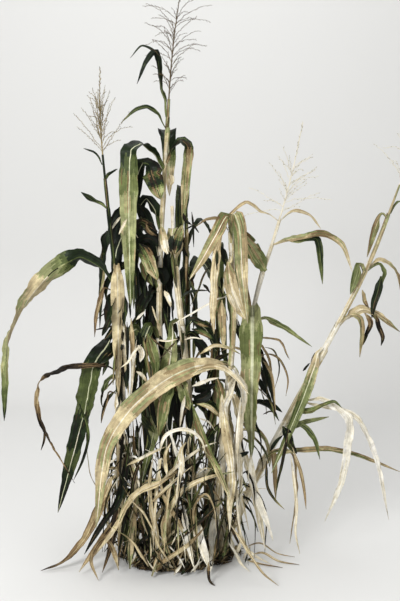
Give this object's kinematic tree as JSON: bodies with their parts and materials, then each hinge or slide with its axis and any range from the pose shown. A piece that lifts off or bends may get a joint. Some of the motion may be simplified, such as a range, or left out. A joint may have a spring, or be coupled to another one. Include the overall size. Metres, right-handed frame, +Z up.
{
  "type": "maize plant",
  "caption": "Rooted maize plant with many culms from one crown, tall tassels, long arching leaf blades and a dense tangle of low leaves.",
  "frame": {"origin": "under the tallest culm, on the flat cut where the crown meets level ground", "axes": "+Z up the plant, +X to the viewer's right in the picture, +Y away from the viewer"},
  "size_m": [1.3702, 0.6403, 1.8269],
  "materials": {
    "crown": "matt, fibrous",
    "culm": "smooth, waxy",
    "leaf": "matt to satin, ribbed along its length",
    "dry_leaf": "matt, papery",
    "tassel": "matt"
  },
  "bodies": {
    "root": {"crown": "crown", "left_culm": "culm", "tall_culm": "culm", "second_culm": "culm", "rear_culm": "culm", "back_culm": "culm", "pale_culm": "culm", "slim_culm": "culm", "right_culm": "culm", "leaning_culm": "culm", "left_top_leaves": "leaf", "left_arch_rise": "leaf", "left_arch_fall": "leaf", "left_drop": "leaf", "left_hook": "leaf", "left_short": "leaf", "left_wrap": "dry_leaf", "left_inner": "leaf", "left_floor_leaves": "leaf", "broad_hang": "leaf", "tall_left": "leaf", "tall_right": "leaf", "tall_top_leaf": "leaf", "flag_leaf": "leaf", "tall_back": "leaf", "tall_mid": "leaf", "tall_low": "leaf", "tall_drop": "leaf", "rear_leaves": "leaf", "rear_low_leaves": "leaf", "back_leaves": "leaf", "back_low_leaves": "leaf", "second_funnel": "leaf", "centre_drop": "leaf", "pale_top_leaves": "dry_leaf", "pale_drops": "dry_leaf", "front_arch_rise": "dry_leaf", "front_arch_fall": "dry_leaf", "slim_leaves": "leaf", "right_top_leaves": "leaf", "right_left": "leaf", "right_middle_leaves": "leaf", "right_front": "leaf", "right_drop": "dry_leaf", "leaning_blade": "leaf", "leaning_long_leaves": "dry_leaf", "leaning_top_leaves": "leaf", "leaning_low_leaves": "leaf", "left_tassel": "tassel", "tall_tassel": "tassel", "right_tassel": "tassel", "leaning_tassel": "tassel", "front_mass": "dry_leaf", "front_left_mass": "leaf", "left_mass": "leaf", "rear_left_mass": "leaf", "rear_mass": "leaf", "rear_right_mass": "leaf", "middle_mass": "leaf", "front_right_mass": "leaf"}
  },
  "joints": []
}
